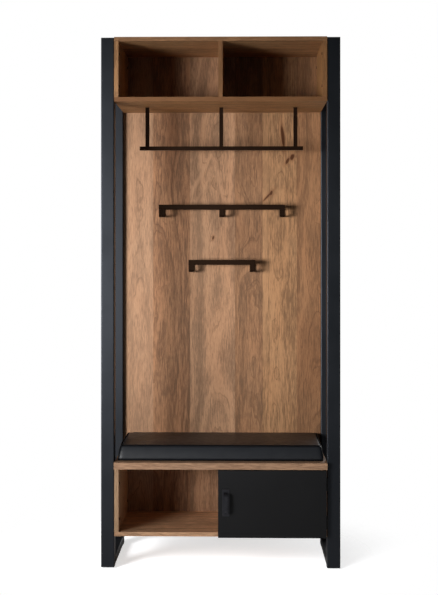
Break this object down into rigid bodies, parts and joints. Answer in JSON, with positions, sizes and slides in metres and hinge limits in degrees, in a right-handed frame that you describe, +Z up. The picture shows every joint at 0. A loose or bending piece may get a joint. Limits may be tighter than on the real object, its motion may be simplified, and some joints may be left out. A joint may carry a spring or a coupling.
{
  "type": "hall tree",
  "caption": "Tall hall tree: open steel side frames, wooden back panel, open top box, hanging rail, hook rails, padded bench and a hinged bench door.",
  "frame": {"origin": "on the floor, under the middle of the overall box, which includes the door pull in front", "axes": "+X to the right across the width seen from the front, +Y to the back (the wall side), +Z up"},
  "size_m": [0.9, 0.4474, 2],
  "materials": {
    "black_steel": "satin black powder coat",
    "panel_wood": "matt oiled planks, upright grain",
    "board_wood": "matt oiled boards",
    "dowel_wood": "raw beech",
    "black_lacquer": "satin black lacquer",
    "black_leather": "smooth black leather",
    "black_plastic": "moulded, matt",
    "soft_rubber": "matt",
    "plated_steel": "black-zinc plated"
  },
  "bodies": {
    "frame": {"back_plank_1": "panel_wood", "back_plank_2": "panel_wood", "back_plank_3": "panel_wood", "back_plank_4": "panel_wood", "back_plank_5": "panel_wood", "back_plank_6": "panel_wood", "bench_bolts": "plated_steel", "bench_bottom": "board_wood", "bench_divider": "board_wood", "bench_dowels": "dowel_wood", "bench_left_side": "board_wood", "bench_right_side": "board_wood", "bench_top": "board_wood", "box_bolts": "plated_steel", "box_bottom": "board_wood", "box_divider": "board_wood", "box_dowels": "dowel_wood", "box_left_side": "board_wood", "box_right_side": "board_wood", "box_top": "board_wood", "catch_screws": "plated_steel", "door_bumpers": "soft_rubber", "floor_glides": "black_plastic", "foot_plates": "plated_steel", "hanging_rail_bar": "black_steel", "hanging_rail_rods": "black_steel", "hanging_rail_studs": "plated_steel", "hinge_fixed_leaves": "black_steel", "hinge_fixed_screws": "plated_steel", "hinge_pins": "plated_steel", "hook_rail_bolts": "plated_steel", "left_floor_runner": "black_steel", "left_front_post": "black_steel", "left_rear_post": "black_steel", "left_top_rail": "black_steel", "lower_hook_rail_bar": "black_steel", "lower_hook_rail_hooks": "black_steel", "magnetic_catch": "black_plastic", "panel_screws": "plated_steel", "panel_tabs": "black_steel", "post_caps": "black_plastic", "right_floor_runner": "black_steel", "right_front_post": "black_steel", "right_rear_post": "black_steel", "right_top_rail": "black_steel", "upper_hook_rail_bar": "black_steel", "upper_hook_rail_hooks": "black_steel"},
    "door": {"door_panel": "black_lacquer", "hinge_door_leaves": "black_steel", "hinge_door_screws": "plated_steel", "pull_plate": "black_steel", "pull_grip": "black_steel", "pull_screws": "plated_steel", "strike_plate": "plated_steel", "strike_screws": "plated_steel"},
    "cushion": {"seat_cushion": "black_leather"}
  },
  "joints": [
    {"name": "door_hinge", "type": "hinge", "parent": "frame", "child": "door", "pos_m": [0.4002, -0.17945, 0.248], "axis": [0, 0, 1], "range_deg": [0, 105]},
    {"name": "cushion_lift", "type": "slide", "parent": "frame", "child": "cushion", "axis": [0, 0, 1], "range_m": [0, 0.25]}
  ]
}
